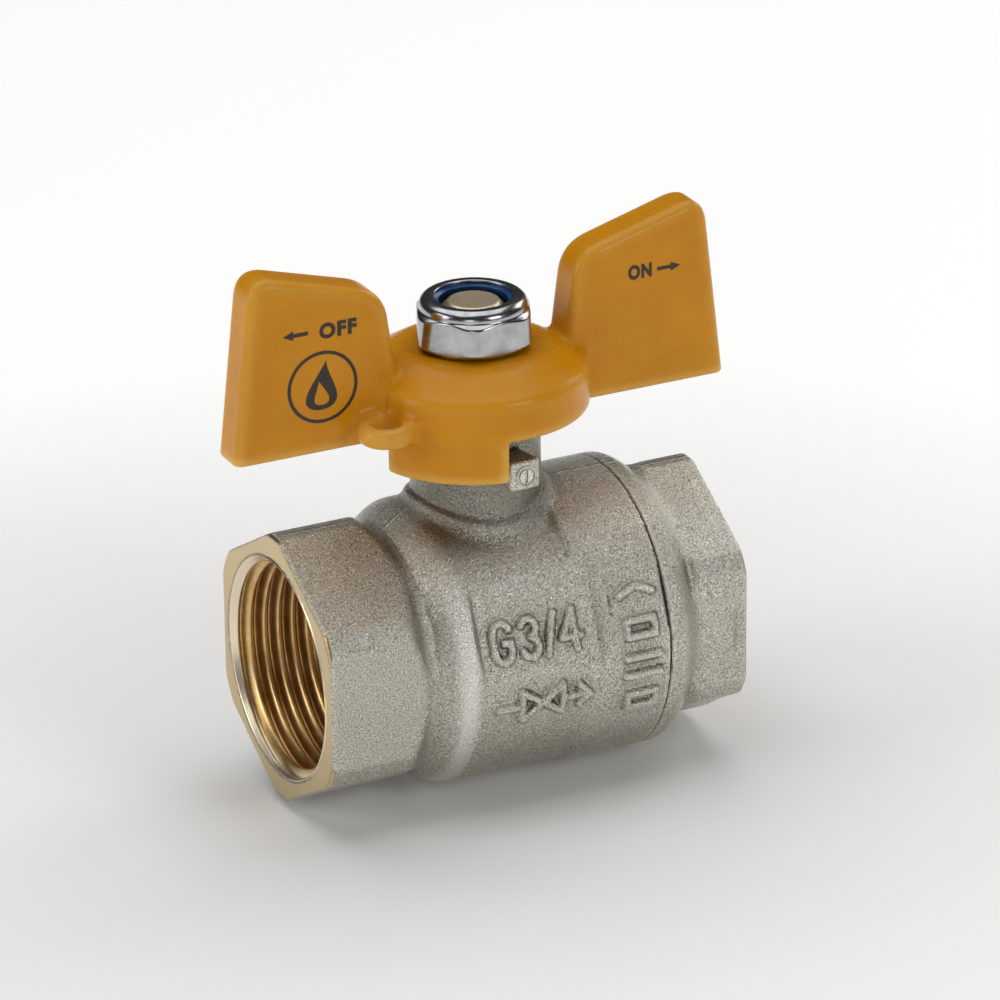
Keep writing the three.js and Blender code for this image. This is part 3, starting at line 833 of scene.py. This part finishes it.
def lug_mark_field(x, y, z):
    """A raised disc with an upright groove, on the outer face of the front stop lug."""
    middle = math.radians(LUG_DIRECTIONS[0])
    side = y * math.cos(middle) - x * math.sin(middle)
    out = x * math.cos(middle) + y * math.sin(middle) - LUG_RADIUS
    height = z - (LUG_BOTTOM + LUG_TOP) / 2
    disc = common(np.hypot(side, height) - LUG_MARK_RADIUS, np.abs(out) - 0.16, 0.12)
    stem = np.maximum(np.abs(side) - 0.16, np.maximum(np.abs(height) - 0.75, 0.02 - out))
    ring = np.maximum(np.abs(np.hypot(side, height) - 0.98) - 0.12, 0.04 - out)
    return cut(cut(disc, stem, 0.05), ring, 0.05)


def make_lug_mark():
    middle = math.radians(LUG_DIRECTIONS[0])
    across, along = LUG_RADIUS * math.cos(middle), LUG_RADIUS * math.sin(middle)
    centre = np.array([across, along, (LUG_BOTTOM + LUG_TOP) / 2])
    box = (centre - 1.6, centre + 1.6)
    field_piece(
        "stop_lug_mark", lug_mark_field, box, 0.06, "fixed_body", "nickel_plated_brass",
        INLET_NICKEL,
    )


def make_port_thread(name, face, side, material, nodes):
    """The machined inside of a port: a chamfer, then the thread, and the land behind it."""
    facets, rows = 240, 130
    inward = -side
    angles = np.linspace(0, 2 * math.pi, facets, endpoint=False)
    depths = np.linspace(0.02, PORT_DEPTH - 0.05, rows)[:, None]
    along = face + inward * depths
    depth = THREAD_MAJOR - THREAD_MINOR
    bore = THREAD_MAJOR - depth * helix_depth(along, angles[None, :], THREAD_PITCH)
    chamfer_slope = (PORT_RADIUS - PORT_PLAY - CHAMFER_END) / CHAMFER_DEPTH
    chamfer = PORT_RADIUS - PORT_PLAY - chamfer_slope * depths
    run_out = THREAD_MAJOR - 0.2 + 0 * angles[None, :]
    bore = np.where(depths > PORT_DEPTH - RUN_OUT, run_out, bore)
    bore = np.maximum(bore, chamfer)
    outer = PORT_RADIUS - 0.07
    land = [(outer, PORT_DEPTH - 0.05), (outer, 0.02)]
    rings = []
    for i in range(rows):
        across, up = bore[i] * np.cos(angles), bore[i] * np.sin(angles)
        rings.append(np.stack([along[i] + 0 * angles, across, up], -1))
    for radius, deep in land:
        x = np.full(facets, face + inward * deep)
        rings.append(np.stack([x, radius * np.cos(angles), radius * np.sin(angles)], -1))
    points, faces = loft(np.array(rings))
    if side < 0:
        faces = faces[:, ::-1]
    make_piece(name, points, faces, "fixed_body", "nickel_plated_brass", material, nodes)


# ---------------------------------------------------------------------------
# Ball, seats, stem and seals
# ---------------------------------------------------------------------------


def ball_field(x, y, z):
    """The ball with its bore and the slot for the stem's tang."""
    sphere = np.sqrt(x * x + y * y + z * z) - BALL_RADIUS
    ball = cut(sphere, np.sqrt(y * y + z * z) - FLOW_RADIUS, 0.5)
    slot = np.maximum(np.abs(x) - SLOT_HALF_WIDTH, SLOT_FLOOR - z)
    return cut(ball, slot + 0 * y, 0.2)


def stem_field(x, y, z):
    """The stem: tang, shoulder, shaft with two grooves, and a thread with two flats."""
    radius = np.sqrt(x * x + y * y)
    shaft = common(radius - STEM_RADIUS, slab(z, STEM_SHOULDER_TOP - 1, STEM_SPLIT), 0.2)
    for height in RING_HEIGHTS:
        groove = np.maximum(GROOVE_FLOOR - radius, np.abs(z - height) - GROOVE_HALF_WIDTH)
        shaft = cut(shaft, groove, 0.1)
    collar = common(radius - STEM_SHOULDER, slab(z, STEM_LOW[2] + 3, STEM_SHOULDER_TOP), 0.2)
    painted_crest_highlight = helix_depth(z, np.arctan2(y, x), STEM_PITCH) * THREAD_HEIGHT
    root = radius - STEM_THREAD + 0.5
    thread = common(root - painted_crest_highlight, slab(z, WEB_BOTTOM - 1, STEM_HIGH[2]), 0.15)
    thread = common(thread, (radius + z - STEM_HIGH[2] - 2.9) * 0.7, 0.15)
    flats = np.maximum(np.abs(y) - STEM_FLAT, STEM_SPLIT - z)
    thread = np.where(z > STEM_SPLIT, common(thread, flats, 0.15), thread)
    tang = np.maximum(np.abs(x) - TANG_HALF_THICKNESS, np.abs(y) - TANG_HALF_WIDTH)
    tang = common(tang, slab(z, STEM_LOW[2], 15), 0.3)
    return np.minimum(np.minimum(shaft, collar), np.minimum(thread, tang))


def make_inner_parts():
    reach = BALL_RADIUS + 0.5
    corner = [reach] * 3
    field_piece(
        "polished_ball", ball_field, ([-reach] * 3, corner), 0.4, "ball", "chromed_ball",
        BALL_CHROME, ["ball"],
    )
    field_piece(
        "turned_stem", stem_field, ([-6.2, -6.2, STEM_LOW[2]], [6.2, 6.2, STEM_HIGH[2]]), 0.18,
        "handle_assembly", "stem_brass", STEM_METAL, ["stem"],
    )
    for name, node, side in (("inlet", "seat_inlet", -1), ("outlet", "seat_outlet", 1)):
        low, high = span(node)
        front, back = sorted((abs(low[0]), abs(high[0])))
        face_radius = BALL_RADIUS + 0.3
        inner, outer = FLOW_RADIUS + PASSAGE_STEP, high[1]
        contact = math.sqrt(face_radius**2 - front**2)
        steps = np.linspace(math.asin(contact / face_radius), math.asin(inner / face_radius), 14)
        profile = [[face_radius * math.sin(a), face_radius * math.cos(a)] for a in steps]
        profile += [[inner, back], [outer - 0.3, back], [outer, back - 0.3], [outer, front]]
        profile = [[radius, side * along] for radius, along in profile]
        points, faces = turned(profile[::-1] if side > 0 else profile, "x")
        make_piece(f"{name}_seat_ring", points, faces, "fixed_body", "white_ptfe", PTFE, [node])
    profile = round_profile(WASHER_LOW[2], WASHER_HIGH[2], 4.8, WASHER_HIGH[0], 0.12)
    make_piece(
        "thrust_washer", *turned(profile, "z"), "fixed_body", "white_ptfe", PTFE,
        ["stem_thrust_washer"],
    )
    for node, body, axis in (
        ("stem_ring_lower", "handle_assembly", 2),
        ("stem_ring_upper", "handle_assembly", 2),
        ("end_cap_seal", "fixed_body", 0),
    ):
        low, high = span(node)
        cord = (high[axis] - low[axis]) / 2
        middle = (high[axis] + low[axis]) / 2
        ring = high[1] - cord
        angles = np.linspace(0, 2 * math.pi, 24, endpoint=False)
        profile = [[ring + cord * math.sin(a), middle + cord * math.cos(a)] for a in angles]
        points, faces = turned(profile, "xyz"[axis])
        make_piece(f"{node}_cord", points, faces, body, "black_rubber", RUBBER, [node])


# ---------------------------------------------------------------------------
# Handle, with its printed signs, and the nut
# ---------------------------------------------------------------------------


def line_side(x, z, start, end):
    """Distance to the right of a line, going from start to end in the XZ plane."""
    along = np.array(end, float) - start
    along /= np.linalg.norm(along)
    return (x - start[0]) * along[1] - (z - start[1]) * along[0]


def wing_field(x, y, z):
    """Both wings: a plate with rounded edges."""
    reach = np.abs(x) + 0 * z
    outer = line_side(reach, z, *WING_OUTER_EDGE)
    upper = line_side(reach, z, *WING_UPPER_EDGE)
    inner = line_side(reach, z, *WING_INNER_EDGE)
    outline = common(common(outer, upper, 3.4), inner, 3.0) + WING_ROUND
    depth = np.abs(y) - WING_HALF + WING_ROUND
    plate = np.minimum(np.maximum(outline, depth), 0)
    plate = plate + np.hypot(np.maximum(outline, 0), np.maximum(depth, 0)) - WING_ROUND
    return common(plate, WING_BOTTOM - z, 0.5)


def handle_field(x, y, z):
    """The handle: hub, wings, tie lug and stop skirt."""
    radius = np.sqrt(x * x + y * y)
    run, fall = HUB_RADIUS - HUB_FLAT, HUB_TOP - HUB_RIM
    cone = ((radius - HUB_RADIUS) * fall + (z - HUB_RIM) * run) / math.hypot(run, fall)
    hub = common(common(radius - HUB_RADIUS, cone, 0.8), z - HUB_TOP, 0.7)
    hub = common(hub, HUB_BOTTOM - z, 0.7)
    handle = union(hub, wing_field(x, y, z), 1.0)
    direction = math.radians(TIE_DIRECTION)
    tie = np.hypot(x - TIE_REACH * math.cos(direction), y - TIE_REACH * math.sin(direction))
    lug = common(tie - TIE_RADIUS, slab(z, HUB_BOTTOM, TIE_TOP), 1.1)
    handle = cut(union(handle, lug, 1.5), tie - TIE_HOLE + 0 * z, 0.7)
    handle = cut(handle, np.maximum(radius - HUB_CAVITY, slab(z, HANDLE_LOW[2], WEB_BOTTOM)), 0.5)
    height = slab(z, HANDLE_LOW[2], HUB_BOTTOM + 1.5)
    skirt = common(slab(radius, HUB_CAVITY, HUB_RADIUS), height, 0.5)
    skirt = common(skirt, wedge(x, y, SKIRT_MIDDLE, SKIRT_HALF_ANGLE), 0.5)
    handle = union(handle, skirt, 0.4)
    hole = np.maximum(radius - NUT_BORE, np.abs(y) - STEM_FLAT - 0.3)
    return cut(handle, np.maximum(hole, WEB_BOTTOM - 2 - z), 0.2)


def nut_field(x, y, z):
    """The self-locking nut: a chamfered hexagon with a round collar on top."""
    turn = math.radians(NUT_TURN)
    along = x * math.cos(turn) + y * math.sin(turn)
    across = y * math.cos(turn) - x * math.sin(turn)
    radius = np.sqrt(x * x + y * y)
    bar = hexagon(across, along, NUT_FLATS, 0.22)
    taper = (radius - NUT_CORNER_TOP - NUT_CORNER_GROWTH * (NUT_HEX_TOP - z)) * 0.98
    bar = common(bar, taper, 0.3)
    bar = common(bar, (radius - NUT_COLLAR - 1.6 * (NUT_HEX_TOP + 0.1 - z)) / 1.9, 0.2)
    bar = common(bar, (radius - NUT_COLLAR - 1.6 * (z - NUT_LOW[2])) / 1.9, 0.2)
    bar = common(bar, slab(z, NUT_LOW[2], NUT_HEX_TOP + 0.1), 0.12)
    shoulder = NUT_HIGH[2] - NUT_COLLAR_ROUND
    ring = NUT_COLLAR - NUT_COLLAR_ROUND
    bulge = np.hypot(np.maximum(radius - ring, 0), np.maximum(z - shoulder, 0)) - NUT_COLLAR_ROUND
    collar = np.maximum(bulge, NUT_LOW[2] - z)
    nut = union(bar, collar, 0.2)
    bore = radius - NUT_BORE + 0 * z
    nut = cut(nut, bore, 0.15)
    pocket = np.maximum(radius - NUT_POCKET, slab(z, INSERT_LOW[2] - 0.1, NYLON_TOP + 0.06))
    mouth = np.maximum(radius - NUT_MOUTH, INSERT_LOW[2] - z)
    return cut(cut(nut, pocket, 0.1), mouth, 0.2)


def fitted(piece, left, right, bottom, top, front):
    """Scales a flat drawing into a box on the wing's front face."""
    points = np.array([v.co for v in piece.data.vertices])
    low, high = points.min(0), points.max(0)
    flat = (points - low) / np.maximum(high - low, 1e-9)
    placed = np.empty_like(points)
    placed[:, 0] = left + flat[:, 0] * (right - left)
    placed[:, 1] = front[1] + (front[0] - front[1]) * flat[:, 2]
    placed[:, 2] = bottom + flat[:, 1] * (top - bottom)
    piece.data.vertices.foreach_set("co", (placed * MM).ravel())
    return piece


def drawing_mesh(name, curve, box):
    """A filled drawing as a thin sheet of ink on a wing."""
    drawing = bpy.data.objects.new(name, curve)
    bpy.context.scene.collection.objects.link(drawing)
    bpy.context.view_layer.update()
    graph = bpy.context.evaluated_depsgraph_get()
    mesh = bpy.data.meshes.new_from_object(drawing.evaluated_get(graph))
    bpy.data.objects.remove(drawing)
    mesh.materials.clear()
    mesh.materials.append(INK)
    piece = bpy.data.objects.new(name, mesh)
    bpy.context.scene.collection.objects.link(piece)
    ink = (-WING_HALF - 0.03, -WING_HALF + 0.05)
    fitted(piece, *box, ink)
    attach(piece, "handle_assembly")
    return piece


def print_word(name, word, box):
    curve = bpy.data.curves.new(name, "FONT")
    curve.body = word
    curve.extrude = 0.05
    curve.offset = 0.05
    curve.space_character = 1.15
    return drawing_mesh(name, curve, box)


def print_shape(name, outlines, box):
    """Closed outlines filled by the even-odd rule."""
    curve = bpy.data.curves.new(name, "CURVE")
    curve.dimensions = "2D"
    curve.fill_mode = "BOTH"
    curve.extrude = 0.05
    for outline in outlines:
        spline = curve.splines.new("POLY")
        spline.points.add(len(outline) - 1)
        for point, (u, v) in zip(spline.points, outline):
            point.co = (u, v, 0, 1)
        spline.use_cyclic_u = True
    return drawing_mesh(name, curve, box)


def flame(height, width, lean):
    """A flame: a teardrop whose tip leans to one side."""
    points = []
    for i in range(48):
        t = 2 * math.pi * i / 48
        up = (1 - math.cos(t)) / 2
        half = math.sin(t) * (1 - up) ** 0.55 * (0.35 + 0.65 * (1 - up))
        points.append((width * half * 1.2 + lean * up**2, height * up))
    return points


def make_signs():
    """The printed words, arrows and flame; each box is left, right, bottom and top on the wing."""
    shaft, head, tall = 0.22, 1.3, 0.56
    length = 3.2
    upper = [(0, 0), (head, tall), (head, shaft), (length, shaft)]
    arrow = upper + [(u, -v) for u, v in reversed(upper[1:])]
    print_word("print_off", "OFF", (-20.6, -15.95, 40.82, 42.72))
    print_shape("print_off_arrow", [arrow], (-25.1, -22.0, 41.3, 42.45))
    print_word("print_on", "ON", (18.55, 21.6, 40.8, 42.6))
    print_shape("print_on_arrow", [[(-u, v) for u, v in arrow]], (22.3, 25.3, 41.05, 42.15))
    ring = arc(0, 0, 4.35, 4.35, 0, 360, 97)[:-1]
    hole = arc(0, 0, 3.95, 3.95, 0, 360, 97)[:-1]
    outer = [(u - 0.2, v - 2.75) for u, v in flame(5.9, 2.6, 0.7)]
    inner = [(u - 0.1, v - 2.2) for u, v in flame(3.0, 1.25, -0.35)]
    print_shape("print_flame", [ring, hole, outer, inner], (-24.7, -16.0, 30.7, 39.4))


def make_handle():
    field_piece(
        "painted_handle", handle_field, (HANDLE_LOW, HANDLE_HIGH), 0.27, "handle_assembly",
        "yellow_paint", PAINT, ["handle"],
    )
    make_signs()
    low = [-7.8, -7.8, NUT_LOW[2]]
    high = [7.8, 7.8, NUT_HIGH[2]]
    field_piece(
        "lock_nut", nut_field, (low, high), 0.13, "handle_assembly", "chromed_nut",
        NUT_CHROME, ["handle_nut"],
    )
    profile = round_profile(INSERT_LOW[2], NYLON_TOP, NYLON_BORE, INSERT_HIGH[0], 0.2)
    make_piece(
        "nylon_ring", *turned(profile, "z"), "handle_assembly", "blue_nylon", NYLON,
        ["nut_insert"],
    )


# ---------------------------------------------------------------------------
# Studio
# ---------------------------------------------------------------------------

# The camera looks at a point a little above and to the right of the flow axis, as seen from it.
CAMERA_AZIMUTH = -26.1
CAMERA_ELEVATION = 23.38
CAMERA_ROLL = -0.63
CAMERA_DISTANCE = 724.3
CAMERA_LENS = 223.1
AIM_RIGHT = 2.65
AIM_UP = 14.69

LIGHT_AIM = (0, 0, 0.01)


def make_camera():
    azimuth, elevation = math.radians(CAMERA_AZIMUTH), math.radians(CAMERA_ELEVATION)
    roll = math.radians(CAMERA_ROLL)
    level = math.cos(elevation)
    back = Vector((math.sin(azimuth) * level, -math.cos(azimuth) * level, math.sin(elevation)))
    flat_right = Vector((math.cos(azimuth), math.sin(azimuth), 0))
    flat_up = back.cross(flat_right)
    right = flat_right * math.cos(roll) + flat_up * math.sin(roll)
    up = flat_up * math.cos(roll) - flat_right * math.sin(roll)
    place = (right * AIM_RIGHT + up * AIM_UP + back * CAMERA_DISTANCE) * MM
    data = bpy.data.cameras.new("camera")
    data.sensor_width = 36
    data.lens = CAMERA_LENS
    data.clip_start = 0.01
    camera = bpy.data.objects.new("camera", data)
    camera.matrix_world = Matrix.Translation(place) @ Matrix((right, up, back)).transposed().to_4x4()
    bpy.context.scene.collection.objects.link(camera)
    bpy.context.scene.camera = camera


def make_floor():
    """A large pale floor with painted light: it glows faintly, and less near the object, as a painted
    contact shadow.
    """
    size, steps = 12.0, 24
    ground = CAD_BOX[0].z
    points, faces = [], []
    for i in range(steps + 1):
        for j in range(steps + 1):
            points.append((size * (2 * i / steps - 1), size * (2 * j / steps - 1), ground))
    for i in range(steps):
        for j in range(steps):
            corner = i * (steps + 1) + j
            faces.append((corner, corner + steps + 1, corner + steps + 2, corner + 1))
    mesh = bpy.data.meshes.new("floor")
    mesh.from_pydata(points, [], faces)
    n = Nodes("floor")
    n.set(Base_Color=rgb(244, 244, 243), Roughness=0.8)
    away = n.distance(*n.axes()[:2])
    # Painted light: the floor glows, and less near the object, which paints a soft contact shadow.
    n.set(Emission_Color=(1, 1, 1, 1), Emission_Strength=n.remap(away, 0.03, 0.13, 0.04, 0.3))
    mesh.materials.append(n.material)
    floor = bpy.data.objects.new("floor", mesh)
    bpy.context.scene.collection.objects.link(floor)


def make_light(name, place, size, power):
    """A square softbox, turned towards the object."""
    data = bpy.data.lights.new(name, "AREA")
    data.shape = "RECTANGLE"
    data.size = size
    data.size_y = size
    data.energy = power
    light = bpy.data.objects.new(name, data)
    light.location = place
    light.rotation_mode = "QUATERNION"
    light.rotation_quaternion = (Vector(LIGHT_AIM) - Vector(place)).to_track_quat("-Z", "Y")
    bpy.context.scene.collection.objects.link(light)


def make_studio():
    make_floor()
    make_light("top_softbox", (0.0, 0.2, 1.0), 1.3, 7.6)
    make_light("front_softbox", (0.32, -0.8, 0.42), 0.35, 1.8)
    make_light("left_softbox", (-0.55, -0.85, 0.22), 0.3, 0.6)
    make_light("side_softbox", (-0.95, 0.1, 0.35), 0.5, 2.6)
    make_light("right_softbox", (0.8, 0.25, 0.4), 0.45, 1.7)
    world = bpy.data.worlds.new("studio")
    world.use_nodes = True
    background = world.node_tree.nodes["Background"]
    background.inputs["Color"].default_value = (1, 1, 1, 1)
    background.inputs["Strength"].default_value = 0.04
    bpy.context.scene.world = world
    bpy.context.scene.view_settings.view_transform = "Standard"


make_camera()
make_forgings()
make_lug_mark()
make_port_thread("inlet_thread", INLET_FACE, -1, INLET_BRASS, ["valve_body"])
make_port_thread("outlet_thread", OUTLET_FACE, 1, OUTLET_BRASS, ["end_cap"])
make_inner_parts()
make_handle()
make_studio()
